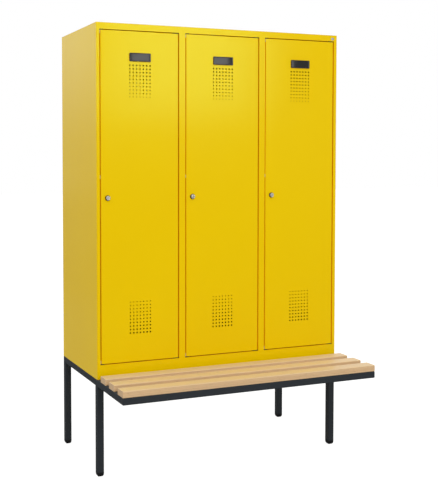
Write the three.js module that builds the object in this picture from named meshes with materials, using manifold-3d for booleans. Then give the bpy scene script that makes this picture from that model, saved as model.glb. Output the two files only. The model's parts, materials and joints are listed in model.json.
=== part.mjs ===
// Three-door clothes locker of folded sheet steel on a square-tube base that runs forward as a slatted bench.
// Millimetres, +Z up. The origin is on the floor at the middle of the footprint.
// The doors face -Y with the bench in front of them, and +X is the right-hand side.
import * as THREE from "three";
import { mergeVertices } from "three/addons/utils/BufferGeometryUtils.js";
import Module from "manifold-3d";

const wasm = await Module();
wasm.setup();

// Whole object
const compartmentCount = 3;
const compartmentWidth = 400;
const lockerDepth = 500;
const lockerHeight = 1526;
const baseHeight = 424;
const benchDepth = 310;

// Clearances shared by every piece
const seam = 0.3;
const overrun = 5;
const weldGrid = 1e-3;

// Facets: each arc of an extruded outline gets twice its number of segments
const coarseArc = 1;
const fineArc = 2;
const sweepArc = 3;

// Sheet steel
const sheet = 1;
const bendRadius = 1;
const bendSteps = 1;
const edgeReturn = 15;

// Front frame around the doors
const postHalfWidth = 15;
const topRailHeight = 28;
const bottomRailHeight = 62;
const openingReturnDepth = 24;
const stopLip = 8;
const frameFootReturn = 20;

// Doors
const doorGap = 4;
const doorDepth = 18;
const doorEdgeReturn = 12;
const doorCornerRelief = 2;

// Perforated fields of a door, their holes shrinking towards the middle of the door
const holeColumns = 7;
const holeRows = 10;
const holePitchAcross = 15.65;
const holePitchUp = 15.05;
const largestHole = 6.6;
const smallestHole = 4.4;
const upperFieldDrop = 145;
const lowerFieldRise = 125;

// Door stiffener, a top-hat channel
const stiffenerOffset = 95;
const stiffenerCrownWidth = 26;
const stiffenerDepth = 13;
const stiffenerFlange = 14;
const stiffenerEndClearance = 2;

// Label holder
const labelWidth = 98;
const labelHeight = 36;
const labelDepth = 4.5;
const labelCorner = 3;
const labelRim = 3.5;
const labelPocketDepth = 2.6;
const labelDrop = 92;

// Cam lock
const lockInset = 31;
const bezelBaseRadius = 12.5;
const bezelFaceRadius = 9.5;
const bezelHeight = 8;
const bezelFootHeight = 2;
const lockBodyRadius = 9;
const lockBodyLength = 24.6;
const lockHoleClearance = 0.5;
const lockNutAcross = 24;
const lockNutThickness = 4.5;
const plugRadius = 6;
const plugClearance = 0.3;
const plugProud = 0.5;
const keySlotWidth = 1.8;
const keySlotHeight = 7;
const keySlotDepth = 7;
const lockSides = 12;
const camHubRadius = 9;
const camWidth = 14;
const camReach = 33;
const camThickness = 2.5;
const camTenon = 7;
const camTenonProud = 1.5;
const camFrameClearance = 1.5;

// Pivots that carry each door at its upper and lower right-hand corners
const pinInset = 10;
const pinSetback = 6;
const pinRadius = 3.5;
const pinHoleClearance = 0.5;
const pinReach = 14;
const pinStub = 6;
const pinSides = 8;
const bearingLength = 27;
const bearingDepth = 15;
const bearingThickness = 3.2;
const bearingSetback = 0.6;

// Inside each compartment
const shelfDrop = 300;
const shelfFlange = 20;
const shelfHem = 10;
const shelfSetback = 40;
const clothesRailDrop = 40;
const clothesRailHeight = 30;
const clothesRailThickness = 15;
const clothesRailWall = 1.5;
const railPlateThickness = 3;
const railPlateWidth = 34;
const railPlateHeight = 50;
const railPlateCorner = 6;
const hookSpacing = 120;
const hooksPerRail = 2;
const hookWidth = 14;
const hookWall = 3.5;
const hookClearance = 1;
const hookStemWidth = 9;
const hookStemLength = 22;
const hookArmRadius = 24;
const hookArmThickness = 7;
const hookArmSweep = 0.36 * Math.PI;

// Floor of the compartments
const floorFlange = 25;

// Base frame and bench
const tubeSide = 30;
const tubeWall = 2;
const tubeCorner = 3;
const footHeight = 18;
const footFlat = 15;
const footPlugLength = 16;
const footPlugClearance = 0.4;
const footSteps = 3;
const slatCount = 3;
const slatWidth = 60;
const slatThickness = 27;
const slatPitch = 103;
const slatEdgeRadius = 4;

// Places that follow from the sizes above
const halfWidth = (compartmentCount * compartmentWidth) / 2;
const footprintDepth = lockerDepth + benchDepth;
const benchFront = -footprintDepth / 2;
const frontFace = benchFront + benchDepth;
const backFace = footprintDepth / 2;
const bodyBottom = baseHeight;
const bodyTop = baseHeight + lockerHeight;
const underRoof = bodyTop - sheet - seam;
const insideSide = halfWidth - sheet - seam;
const frameBack = frontFace + openingReturnDepth;
const backPanelOuter = backFace - sheet - seam;
const backPanelInner = backPanelOuter - sheet;
const openingHalf = compartmentWidth / 2 - postHalfWidth;
const openingBottom = bodyBottom + bottomRailHeight;
const openingTop = bodyTop - topRailHeight;
const floorTop = openingBottom;
const doorHalf = openingHalf - doorGap;
const doorBottom = openingBottom + doorGap;
const doorTop = openingTop - doorGap;
const doorBack = frontFace + doorDepth;
const doorSkin = frontFace + sheet;
const pinY = frontFace + pinSetback;
const lockZ = (doorBottom + doorTop) / 2;
const plugBack = frontFace + lockBodyLength + seam;
const camFront = frameBack + camFrameClearance;
const shelfTop = bodyTop - shelfDrop;
const shelfBottom = shelfTop - shelfFlange;
const clothesRailZ = shelfBottom - clothesRailDrop;
const clothesRailY = (frameBack + backPanelInner) / 2;
const railTop = bodyBottom - seam;
const railBottom = railTop - tubeSide;

// Turns a closed geometry into a solid that can be joined and cut, its corners snapped to a fine grid.
function solidOf(geometry) {
  const bare = geometry.clone();
  bare.deleteAttribute("normal");
  bare.deleteAttribute("uv");
  const places = bare.attributes.position.array;
  places.forEach((value, i) => {
    places[i] = Math.round(value / weldGrid) * weldGrid;
  });
  const merged = mergeVertices(bare, weldGrid / 2);
  const vertProperties = merged.attributes.position.array;
  const triVerts = new Uint32Array(merged.index.array);
  return new wasm.Manifold(new wasm.Mesh({ numProp: 3, vertProperties, triVerts }));
}

// Turns a solid back into a geometry with flat-shaded faces.
function geometryOf(solid) {
  const mesh = solid.getMesh();
  const geometry = new THREE.BufferGeometry();
  const corners = new Float32Array(mesh.vertProperties);
  geometry.setAttribute("position", new THREE.BufferAttribute(corners, 3));
  geometry.setIndex(new THREE.BufferAttribute(new Uint32Array(mesh.triVerts), 1));
  const faceted = geometry.toNonIndexed();
  faceted.computeVertexNormals();
  return faceted;
}

function join(...pieces) {
  return geometryOf(pieces.map(solidOf).reduce((whole, piece) => whole.add(piece)));
}

function cut(base, ...tools) {
  return geometryOf(tools.map(solidOf).reduce((rest, tool) => rest.subtract(tool), solidOf(base)));
}

// A rectangular block between two limits along each axis.
function block([x0, x1], [y0, y1], [z0, z1]) {
  const geometry = new THREE.BoxGeometry(x1 - x0, y1 - y0, z1 - z0);
  return geometry.translate((x0 + x1) / 2, (y0 + y1) / 2, (z0 + z1) / 2);
}

// An outline drawn in X and Y, extruded upwards.
function alongZ(shape, [z0, z1], curveSegments = coarseArc) {
  const settings = { depth: z1 - z0, bevelEnabled: false, curveSegments };
  return new THREE.ExtrudeGeometry(shape, settings).translate(0, 0, z0);
}

// An outline drawn in Y and Z, extruded to the right.
function alongX(shape, [x0, x1], curveSegments = coarseArc) {
  const turned = alongZ(shape, [0, x1 - x0], curveSegments);
  const xAxis = new THREE.Vector3(0, 1, 0);
  const yAxis = new THREE.Vector3(0, 0, 1);
  const zAxis = new THREE.Vector3(1, 0, 0);
  turned.applyMatrix4(new THREE.Matrix4().makeBasis(xAxis, yAxis, zAxis));
  return turned.translate(x0, 0, 0);
}

// An outline drawn in X and Z, extruded from front to back.
function alongY(shape, [y0, y1], curveSegments = coarseArc) {
  return alongZ(shape, [0, y1 - y0], curveSegments).rotateX(Math.PI / 2).translate(0, y1, 0);
}

function polygon(points) {
  return new THREE.Shape(points.map(([a, b]) => new THREE.Vector2(a, b)));
}

// A rectangle with rounded corners, as a path or as the hole of another outline.
function roundedRectangle(width, height, radius, Kind = THREE.Shape) {
  const outline = new Kind();
  const a = width / 2 - radius;
  const b = height / 2 - radius;
  outline.absarc(a, b, radius, 0, Math.PI / 2);
  outline.absarc(-a, b, radius, Math.PI / 2, Math.PI);
  outline.absarc(-a, -b, radius, Math.PI, 1.5 * Math.PI);
  outline.absarc(a, -b, radius, 1.5 * Math.PI, 2 * Math.PI);
  outline.closePath();
  return outline;
}

// The cross-section of a folded sheet. The path follows one face, and the sheet lies to the left of it.
function foldedSheet(path) {
  const corners = path.map(([a, b]) => new THREE.Vector2(a, b));
  const normals = corners.slice(1).map((corner, i) => {
    const along = corner.clone().sub(corners[i]).normalize();
    return new THREE.Vector2(-along.y, along.x);
  });
  const face = [corners[0]];
  const back = [corners[0].clone().addScaledVector(normals[0], sheet)];
  for (let i = 1; i < corners.length - 1; i += 1) {
    const [before, after] = [normals[i - 1], normals[i]];
    const side = Math.sign(before.cross(after));
    const faceRadius = side > 0 ? bendRadius + sheet : bendRadius;
    const middle = before.clone().add(after).divideScalar(1 + before.dot(after));
    const centre = corners[i].clone().addScaledVector(middle, side * faceRadius);
    for (let step = 0; step <= bendSteps; step += 1) {
      const direction = before.clone().lerp(after, step / bendSteps).normalize();
      face.push(centre.clone().addScaledVector(direction, -side * faceRadius));
      back.push(centre.clone().addScaledVector(direction, -side * faceRadius + sheet));
    }
  }
  const last = corners.at(-1);
  face.push(last);
  back.push(last.clone().addScaledVector(normals.at(-1), sheet));
  return new THREE.Shape([...face, ...back.reverse()]);
}

// A solid of revolution about an axis parallel to Y, from a closed profile of radius and y.
function turnedAboutY(profile, x, z, sides) {
  const points = [...profile, profile[0]].map(([radius, y]) => new THREE.Vector2(radius, y));
  return new THREE.LatheGeometry(points, sides).translate(x, 0, z);
}

// An upright round bar.
function bar(radius, x, y, [z0, z1], sides) {
  const geometry = new THREE.CylinderGeometry(radius, radius, z1 - z0, sides);
  return geometry.rotateX(Math.PI / 2).translate(x, y, (z0 + z1) / 2);
}

// Skin through a stack of rings with equal counts of points, closed flat at both ends.
function loft(rings) {
  const count = rings[0].length;
  const positions = rings.flat().flatMap((point) => point.toArray());
  const index = [];
  for (let ring = 0; ring < rings.length - 1; ring += 1) {
    for (let i = 0; i < count; i += 1) {
      const a = ring * count + i;
      const b = ring * count + ((i + 1) % count);
      index.push(a, b, a + count, b, b + count, a + count);
    }
  }
  const lastRing = (rings.length - 1) * count;
  for (let i = 1; i < count - 1; i += 1) {
    index.push(0, i + 1, i);
    index.push(lastRing, lastRing + i, lastRing + i + 1);
  }
  const geometry = new THREE.BufferGeometry();
  geometry.setAttribute("position", new THREE.Float32BufferAttribute(positions, 3));
  geometry.setIndex(index);
  return geometry;
}

// The middle of a compartment, counted from the left.
function compartmentMiddle(i) {
  return (i + 1 / 2) * compartmentWidth - halfWidth;
}

// The inner faces of the two upright sheets beside a compartment.
function compartmentSides(i) {
  const middle = compartmentMiddle(i);
  const left = i === 0 ? sheet : sheet / 2;
  const right = i === compartmentCount - 1 ? sheet : sheet / 2;
  return [middle - compartmentWidth / 2 + left, middle + compartmentWidth / 2 - right];
}

// Outer side sheet, folded inwards along the back and along the foot.
function sidePanel(side) {
  const outer = side * halfWidth;
  const path = [
    [outer - side * edgeReturn, backFace],
    [outer, backFace],
    [outer, frontFace],
  ];
  const section = foldedSheet(side > 0 ? path.reverse() : path);
  const upright = alongZ(section, [bodyBottom, underRoof]);
  const footX = [outer, outer - side * frameFootReturn].sort((a, b) => a - b);
  const footY = [frameBack + seam, backPanelInner - seam];
  const foot = block(footX, footY, [bodyBottom, bodyBottom + sheet]);
  return join(upright, foot);
}

// Sheet between two compartments, with a flange inside the frame's post and one on the back panel.
function partition(x) {
  const face = x - sheet / 2;
  const section = foldedSheet([
    [face + stopLip, doorSkin + seam],
    [face, doorSkin + seam],
    [face, backPanelInner - seam],
    [face + edgeReturn, backPanelInner - seam],
  ].reverse());
  return alongZ(section, [floorTop + sheet + seam, underRoof - sheet - seam]);
}

function backPanel() {
  const across = [bendRadius - insideSide, insideSide - bendRadius];
  const up = [bodyBottom + seam, underRoof];
  return block(across, [backPanelInner, backPanelOuter], up);
}

// Roof sheet with flanges turned down inside the sides and over the back panel.
function topPanel() {
  const roof = block([-halfWidth, halfWidth], [frontFace, backFace], [bodyTop - sheet, bodyTop]);
  const rearX = halfWidth - edgeReturn - seam;
  const flangeZ = [bodyTop - edgeReturn, bodyTop];
  const rear = block([-rearX, rearX], [backFace - sheet, backFace], flangeZ);
  const flangeY = [frameBack + seam, backPanelInner - seam];
  const sides = [-1, 1].map((side) => {
    const flangeX = [side * insideSide, side * (insideSide - sheet)].sort((a, b) => a - b);
    return block(flangeX, flangeY, flangeZ);
  });
  return join(roof, rear, ...sides);
}

// Compartment floor, one pan under all compartments with its edges turned down.
function bottomPanel() {
  const along = [frameBack + seam, backPanelInner - seam];
  const section = foldedSheet([
    [along[0], floorTop - floorFlange],
    [along[0], floorTop],
    [along[1], floorTop],
    [along[1], floorTop - floorFlange],
  ].reverse());
  const pan = alongX(section, [-insideSide, insideSide]);
  const flangeY = [along[0] + bendRadius + sheet, along[1] - bendRadius - sheet];
  const flangeZ = [floorTop - edgeReturn, floorTop];
  const flanges = [-1, 1].map((side) => {
    const flangeX = [side * insideSide, side * (insideSide - sheet)].sort((a, b) => a - b);
    return block(flangeX, flangeY, flangeZ);
  });
  return join(pan, ...flanges);
}

// Returns and stop lip that line one door opening. The hinge side has no lip, so the door can swing.
function openingLining(middle) {
  const x = [middle - openingHalf, middle + openingHalf];
  const z = [openingBottom, openingTop];
  const outerX = [x[0] - sheet, x[1] + sheet];
  const outerZ = [z[0] - sheet, z[1] + sheet];
  const lipX = [x[0] + stopLip, x[1]];
  const lipZ = [z[0] + stopLip, z[1] - stopLip];
  const whole = block(outerX, [frontFace, frameBack], outerZ);
  const pocket = block(x, [frontFace - overrun, frameBack - sheet], z);
  const wayThrough = block(lipX, [frontFace, frameBack + overrun], lipZ);
  return cut(whole, pocket, wayThrough);
}

// Welded frame of channel posts and rails round the doors, its edges turned back against the carcass.
function frontFrame() {
  const across = [-insideSide, insideSide];
  const up = [bodyBottom, underRoof];
  const y = [frontFace, doorSkin];
  const middles = Array.from({ length: compartmentCount }, (_, i) => compartmentMiddle(i));
  const openings = middles.map((middle) => {
    const openingX = [middle - openingHalf, middle + openingHalf];
    return block(openingX, [frontFace - overrun, doorSkin + overrun], [openingBottom, openingTop]);
  });
  const face = cut(block(across, y, up), ...openings);
  const leftReturn = block([across[0], across[0] + sheet], [frontFace, frameBack], up);
  const rightReturn = block([across[1] - sheet, across[1]], [frontFace, frameBack], up);
  const head = block(across, [frontFace, frontFace + edgeReturn], [underRoof - sheet, underRoof]);
  const foot = block(across, [frontFace, frontFace + frameFootReturn], [bodyBottom, bodyBottom + sheet]);
  const linings = middles.map(openingLining);
  const frame = join(face, leftReturn, rightReturn, head, foot, ...linings);
  const holeRadius = pinRadius + pinHoleClearance;
  const holes = middles.flatMap((middle) => {
    const x = middle + doorHalf - pinInset;
    const upper = [openingTop - seam, openingTop + sheet + seam];
    const lower = [openingBottom - sheet - seam, openingBottom + seam];
    return [upper, lower].map((z) => bar(holeRadius, x, pinY, z, pinSides));
  });
  return cut(frame, ...holes);
}

// Square holes of one field. The first row is the one furthest from the middle of the door.
function perforations(middle, firstRowZ, rowStep) {
  const holes = new THREE.BufferGeometry();
  const corners = [];
  for (let row = 0; row < holeRows; row += 1) {
    const fade = row / (holeRows - 1);
    const half = (largestHole + (smallestHole - largestHole) * fade) / 2;
    const z = firstRowZ + row * rowStep;
    for (let column = 0; column < holeColumns; column += 1) {
      const x = middle + (column - (holeColumns - 1) / 2) * holePitchAcross;
      const y = [frontFace - sheet, doorSkin + sheet];
      const hole = block([x - half, x + half], y, [z - half, z + half]).toNonIndexed();
      corners.push(...hole.attributes.position.array);
    }
  }
  holes.setAttribute("position", new THREE.Float32BufferAttribute(corners, 3));
  return holes;
}

// Door skin folded back along all four edges, with two perforated fields, a lock hole and pivot holes.
function doorPanel(middle) {
  const left = middle - doorHalf;
  const right = middle + doorHalf;
  const skin = alongZ(foldedSheet([
    [left + doorEdgeReturn, doorBack],
    [left, doorBack],
    [left, frontFace],
    [right, frontFace],
    [right, doorBack],
    [right - doorEdgeReturn, doorBack],
  ]), [doorBottom, doorTop]);
  const flangeX = [left + doorCornerRelief, right - doorCornerRelief];
  const topFlange = alongX(foldedSheet([
    [frontFace, doorTop - doorEdgeReturn],
    [frontFace, doorTop],
    [doorBack, doorTop],
    [doorBack, doorTop - doorEdgeReturn],
  ].reverse()), flangeX);
  const bottomFlange = alongX(foldedSheet([
    [frontFace, doorBottom + doorEdgeReturn],
    [frontFace, doorBottom],
    [doorBack, doorBottom],
    [doorBack, doorBottom + doorEdgeReturn],
  ]), flangeX);
  const upperField = perforations(middle, doorTop - upperFieldDrop, -holePitchUp);
  const lowerField = perforations(middle, doorBottom + lowerFieldRise, holePitchUp);
  const lockHoleRadius = lockBodyRadius + lockHoleClearance;
  const lockHole = turnedAboutY([
    [0, frontFace - overrun],
    [lockHoleRadius, frontFace - overrun],
    [lockHoleRadius, frontFace + overrun],
    [0, frontFace + overrun],
  ], left + lockInset, lockZ, lockSides);
  const pinHoles = [doorTop, doorBottom].map((z) => {
    const limits = [z - sheet - seam, z + sheet + seam];
    return bar(pinRadius + pinHoleClearance, right - pinInset, pinY, limits, pinSides);
  });
  return cut(join(skin, topFlange, bottomFlange), upperField, lowerField, lockHole, ...pinHoles);
}

// Top-hat channel behind the door skin, between the perforations and the hinge edge.
function doorStiffener(middle) {
  const x = middle + stiffenerOffset;
  const crown = stiffenerCrownWidth / 2;
  const foot = crown + stiffenerFlange;
  const near = doorSkin + seam;
  const far = near + stiffenerDepth;
  const section = foldedSheet([
    [x - foot, near],
    [x - crown, near],
    [x - crown, far],
    [x + crown, far],
    [x + crown, near],
    [x + foot, near],
  ]);
  const clear = doorEdgeReturn + stiffenerEndClearance;
  return alongZ(section, [doorBottom + clear, doorTop - clear]);
}

// Moulded card holder with a shallow pocket.
function labelHolder(middle) {
  const z = doorTop - labelDrop - labelHeight / 2;
  const back = frontFace - seam;
  const front = back - labelDepth;
  const rim = 2 * labelRim;
  const outline = roundedRectangle(labelWidth, labelHeight, labelCorner);
  const pocket = roundedRectangle(labelWidth - rim, labelHeight - rim, labelCorner - labelRim / 2);
  const body = alongY(outline, [front, back]);
  const hollow = alongY(pocket, [front - overrun, front + labelPocketDepth]);
  return cut(body, hollow).translate(middle, 0, z);
}

// Chromed bezel and threaded body of the lock with its hexagon nut behind the door skin.
function lockHousing(middle) {
  const x = middle - doorHalf + lockInset;
  const bore = plugRadius + plugClearance;
  const bezelBack = frontFace - seam;
  const body = turnedAboutY([
    [bore, frontFace - bezelHeight],
    [bezelFaceRadius, frontFace - bezelHeight],
    [bezelBaseRadius, bezelBack - bezelFootHeight],
    [bezelBaseRadius, bezelBack],
    [lockBodyRadius, bezelBack],
    [lockBodyRadius, frontFace + lockBodyLength],
    [bore, frontFace + lockBodyLength],
  ], x, lockZ, lockSides);
  const nutRadius = lockNutAcross / Math.sqrt(3);
  const nutSides = 6;
  const corners = Array.from({ length: nutSides }, (_, i) => {
    const angle = (i * 2 * Math.PI) / nutSides;
    return [nutRadius * Math.cos(angle), nutRadius * Math.sin(angle)];
  });
  const nutFront = doorSkin + seam;
  const nut = alongY(polygon(corners), [nutFront, nutFront + lockNutThickness]).translate(x, 0, lockZ);
  const boreTool = turnedAboutY([
    [0, frontFace],
    [bore, frontFace],
    [bore, frontFace + lockBodyLength + overrun],
    [0, frontFace + lockBodyLength + overrun],
  ], x, lockZ, lockSides);
  return cut(join(body, nut), boreTool);
}

// Plug with its key slot in front and a square tenon for the cam behind.
function lockCylinder(middle) {
  const x = middle - doorHalf + lockInset;
  const front = frontFace - bezelHeight - plugProud;
  const plug = turnedAboutY([
    [0, front],
    [plugRadius, front],
    [plugRadius, plugBack],
    [0, plugBack],
  ], x, lockZ, lockSides);
  const tenonHalf = camTenon / 2;
  const tenonBack = camFront + camThickness + camTenonProud;
  const tenonX = [x - tenonHalf, x + tenonHalf];
  const tenonZ = [lockZ - tenonHalf, lockZ + tenonHalf];
  const tenon = block(tenonX, [plugBack - overrun, tenonBack], tenonZ);
  const slotX = [x - keySlotWidth / 2, x + keySlotWidth / 2];
  const slotZ = [lockZ - keySlotHeight / 2, lockZ + keySlotHeight / 2];
  const keySlot = block(slotX, [front - overrun, front + keySlotDepth], slotZ);
  return cut(join(plug, tenon), keySlot);
}

// Cam on the lock's tenon. It hangs down when unlocked and turns behind the frame's stop lip when locked.
function lockCam(middle) {
  const x = middle - doorHalf + lockInset;
  const halfTongue = camWidth / 2;
  const tipCentre = halfTongue - camReach;
  const hubAngle = Math.acos(halfTongue / camHubRadius);
  const outline = new THREE.Shape();
  outline.absarc(0, 0, camHubRadius, -hubAngle, Math.PI + hubAngle);
  outline.absarc(0, tipCentre, halfTongue, Math.PI, 2 * Math.PI);
  outline.closePath();
  const hole = camTenon / 2 + seam;
  const tongue = alongY(outline, [camFront, camFront + camThickness], sweepArc);
  const square = block([-hole, hole], [camFront - overrun, camFront + camThickness + overrun], [-hole, hole]);
  return cut(tongue, square).translate(x, 0, lockZ);
}

// Bearing plate in the gap beside the door's corner, with a pin into the door and a stub into the frame.
function doorPivot(middle, seat, towardsDoor) {
  const right = middle + openingHalf - seam;
  const x = middle + doorHalf - pinInset;
  const near = seat + towardsDoor * seam;
  const far = near + towardsDoor * bearingThickness;
  const ordered = (a, b) => [Math.min(a, b), Math.max(a, b)];
  const plateY = [frontFace + bearingSetback, frontFace + bearingSetback + bearingDepth];
  const plate = block([right - bearingLength, right], plateY, ordered(near, far));
  const pinEnd = seat + towardsDoor * (doorGap + pinReach);
  const stubEnd = seat - towardsDoor * pinStub;
  const pin = bar(pinRadius, x, pinY, ordered(stubEnd, pinEnd), pinSides);
  return join(plate, pin);
}

// Shelf pan between two upright sheets, hemmed along the front and turned down on its other edges.
function hatShelf(i) {
  const [left, right] = compartmentSides(i);
  const x = [left + seam, right - seam];
  const rearFlange = backPanelInner - seam - sheet;
  const y = [frontFace + shelfSetback, rearFlange - bendRadius - seam];
  const section = foldedSheet([
    [y[1], shelfBottom],
    [y[1], shelfTop],
    [y[0], shelfTop],
    [y[0], shelfBottom],
    [y[0] + shelfHem, shelfBottom],
  ]);
  const pan = alongX(section, x);
  const inset = bendRadius + sheet;
  const flangeY = [y[0] + shelfHem + inset, y[1] - inset];
  const flangeZ = [shelfBottom, shelfTop];
  const leftFlange = block([x[0], x[0] + sheet], flangeY, flangeZ);
  const rightFlange = block([x[1] - sheet, x[1]], flangeY, flangeZ);
  return join(pan, leftFlange, rightFlange);
}

// Oval tube across a compartment with a plate at each end that screws to the upright sheet.
function clothesRail(i) {
  const [left, right] = compartmentSides(i);
  const x = [left + seam, right - seam];
  const outer = roundedRectangle(clothesRailThickness, clothesRailHeight, clothesRailThickness / 2);
  const walls = 2 * clothesRailWall;
  const innerWidth = clothesRailThickness - walls;
  const inner = roundedRectangle(innerWidth, clothesRailHeight - walls, innerWidth / 2);
  const tube = alongX(outer, x);
  const bore = alongX(inner, [x[0] - overrun, x[1] + overrun]);
  const plate = roundedRectangle(railPlateWidth, railPlateHeight, railPlateCorner);
  const leftPlate = alongX(plate, [x[0], x[0] + railPlateThickness]);
  const rightPlate = alongX(plate, [x[1] - railPlateThickness, x[1]]);
  return cut(join(tube, leftPlate, rightPlate), bore).translate(0, clothesRailY, clothesRailZ);
}

// Moulded double hook that slides along the oval tube.
function coatHook(x) {
  const gap = 2 * hookClearance;
  const wall = gap + 2 * hookWall;
  const width = clothesRailThickness + wall;
  const height = clothesRailHeight + wall;
  const eyeWidth = clothesRailThickness + gap;
  const eye = roundedRectangle(width, height, width / 2);
  eye.holes.push(roundedRectangle(eyeWidth, clothesRailHeight + gap, eyeWidth / 2, THREE.Path));
  const stemTop = hookWall / 2 - height / 2;
  const stemBottom = stemTop - hookStemLength;
  const armCentre = stemBottom + hookArmRadius - hookArmThickness / 2;
  const from = 1.5 * Math.PI - hookArmSweep;
  const to = 1.5 * Math.PI + hookArmSweep;
  const inner = hookArmRadius - hookArmThickness / 2;
  const outer = hookArmRadius + hookArmThickness / 2;
  const tips = [from, to].map((angle) => {
    return [hookArmRadius * Math.cos(angle), armCentre + hookArmRadius * Math.sin(angle)];
  });
  const band = new THREE.Shape();
  band.absarc(0, armCentre, outer, from, to);
  band.absarc(0, armCentre, inner, to, from, true);
  band.closePath();
  const half = hookWidth / 2;
  const thickness = [x - half, x + half];
  const tipDiscs = tips.map(([y, z]) => {
    const disc = new THREE.Shape().absarc(y, z, hookArmThickness / 2, 0, 2 * Math.PI);
    return alongX(disc, thickness, fineArc);
  });
  const stemHalf = hookStemWidth / 2;
  const stem = block(thickness, [-stemHalf, stemHalf], [stemBottom, stemTop]);
  const eyePiece = alongX(eye, thickness);
  const arms = alongX(band, thickness, fineArc);
  return join(eyePiece, stem, arms, ...tipDiscs).translate(0, clothesRailY, clothesRailZ);
}

// Section of the square tube, hollow and with rounded outer corners.
function tubeSection() {
  const outer = roundedRectangle(tubeSide, tubeSide, tubeCorner);
  const inner = tubeSide / 2 - tubeWall;
  outer.holes.push(polygon([[-inner, -inner], [inner, -inner], [inner, inner], [-inner, inner]]));
  return outer;
}

function leg(side, rearY, top) {
  const x = side * (halfWidth - tubeSide / 2);
  const y = rearY - tubeSide / 2;
  return alongZ(tubeSection(), [footHeight + seam, top]).translate(x, y, 0);
}

// Moulded foot: a dome under the leg and a plug that is pushed up into the tube.
function legFoot(side, rearY) {
  const plugSide = tubeSide - 2 * tubeWall - 2 * footPlugClearance;
  const ringAt = (width, z) => {
    const radius = tubeCorner * (width / tubeSide);
    const outline = roundedRectangle(width, width, radius).extractPoints(coarseArc).shape;
    return outline.slice(0, -1).map((point) => new THREE.Vector3(point.x, point.y, z));
  };
  const dome = Array.from({ length: footSteps + 1 }, (_, step) => {
    const angle = ((step / footSteps) * Math.PI) / 2;
    const width = footFlat + (tubeSide - footFlat) * Math.sin(angle);
    return ringAt(width, footHeight * (1 - Math.cos(angle)));
  });
  const x = side * (halfWidth - tubeSide / 2);
  const plugZ = [footHeight - tubeWall, footHeight + footPlugLength];
  const plug = alongZ(roundedRectangle(plugSide, plugSide, tubeWall), plugZ);
  return join(loft(dome), plug).translate(x, rearY - tubeSide / 2, 0);
}

// The corner of the bench frame that lies on one side of the mitre, as a cutting tool.
function mitreTool(side, takesSideRail) {
  const reach = tubeSide + overrun;
  const gap = (seam * Math.SQRT1_2) * (takesSideRail ? 1 : -1);
  const corner = takesSideRail ? [reach, -overrun] : [-overrun, reach];
  const points = [[-overrun, gap - overrun], [reach, gap + reach], corner];
  const placed = points.map(([inward, back]) => [side * (halfWidth - inward), benchFront + back]);
  return alongZ(polygon(placed), [railBottom - overrun, railTop + overrun]);
}

function sideRail(side) {
  const x = side * (halfWidth - tubeSide / 2);
  const z = (railTop + railBottom) / 2;
  const length = [benchFront, backFace - tubeSide - seam];
  const tube = alongY(tubeSection(), length).translate(x, 0, z);
  return cut(tube, mitreTool(side, true));
}

function crossTube([x0, x1], frontY) {
  const tube = alongX(tubeSection(), [x0, x1]);
  return tube.translate(0, frontY + tubeSide / 2, (railTop + railBottom) / 2);
}

function frontRail() {
  const tube = crossTube([-halfWidth, halfWidth], benchFront);
  return cut(tube, mitreTool(-1, false), mitreTool(1, false));
}

// Planed board with its two upper edges rounded.
function benchSlat(i) {
  const y = [benchFront + i * slatPitch, benchFront + i * slatPitch + slatWidth];
  const z = [bodyBottom, bodyBottom + slatThickness];
  const outline = new THREE.Shape();
  outline.moveTo(y[0], z[0]);
  outline.lineTo(y[1], z[0]);
  outline.absarc(y[1] - slatEdgeRadius, z[1] - slatEdgeRadius, slatEdgeRadius, 0, Math.PI / 2);
  outline.absarc(y[0] + slatEdgeRadius, z[1] - slatEdgeRadius, slatEdgeRadius, Math.PI / 2, Math.PI);
  outline.closePath();
  return alongX(outline, [-halfWidth, halfWidth], fineArc);
}

const yellowPaint = new THREE.MeshStandardMaterial({ color: 0xe8c81a, roughness: 0.45, metalness: 0 });
const darkPaint = new THREE.MeshStandardMaterial({ color: 0x2c2f32, roughness: 0.5, metalness: 0 });
const beech = new THREE.MeshStandardMaterial({ color: 0xdcb47c, roughness: 0.5, metalness: 0 });
const greyPlastic = new THREE.MeshStandardMaterial({ color: 0x45464a, roughness: 0.35, metalness: 0 });
const blackPlastic = new THREE.MeshStandardMaterial({ color: 0x17181a, roughness: 0.6, metalness: 0 });
const chrome = new THREE.MeshStandardMaterial({ color: 0xc9cbcf, roughness: 0.2, metalness: 1 });
const zincSteel = new THREE.MeshStandardMaterial({ color: 0xa9abad, roughness: 0.4, metalness: 1 });

const locker = new THREE.Group();

function add(name, geometry, material) {
  const mesh = new THREE.Mesh(geometry, material.clone());
  mesh.name = name;
  locker.add(mesh);
}

function addCarcass() {
  add("left_side_panel", sidePanel(-1), yellowPaint);
  add("right_side_panel", sidePanel(1), yellowPaint);
  add("back_panel", backPanel(), yellowPaint);
  add("top_panel", topPanel(), yellowPaint);
  add("bottom_panel", bottomPanel(), yellowPaint);
  add("front_frame", frontFrame(), yellowPaint);
  for (let i = 1; i < compartmentCount; i += 1) {
    add(`partition_${i}`, partition(i * compartmentWidth - halfWidth), yellowPaint);
  }
}

function addCompartment(i) {
  const number = i + 1;
  const middle = compartmentMiddle(i);
  add(`hat_shelf_${number}`, hatShelf(i), yellowPaint);
  add(`clothes_rail_${number}`, clothesRail(i), zincSteel);
  for (let hook = 0; hook < hooksPerRail; hook += 1) {
    const x = middle + (hook - (hooksPerRail - 1) / 2) * hookSpacing;
    add(`coat_hook_${number}_${hook + 1}`, coatHook(x), blackPlastic);
  }
}

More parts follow.
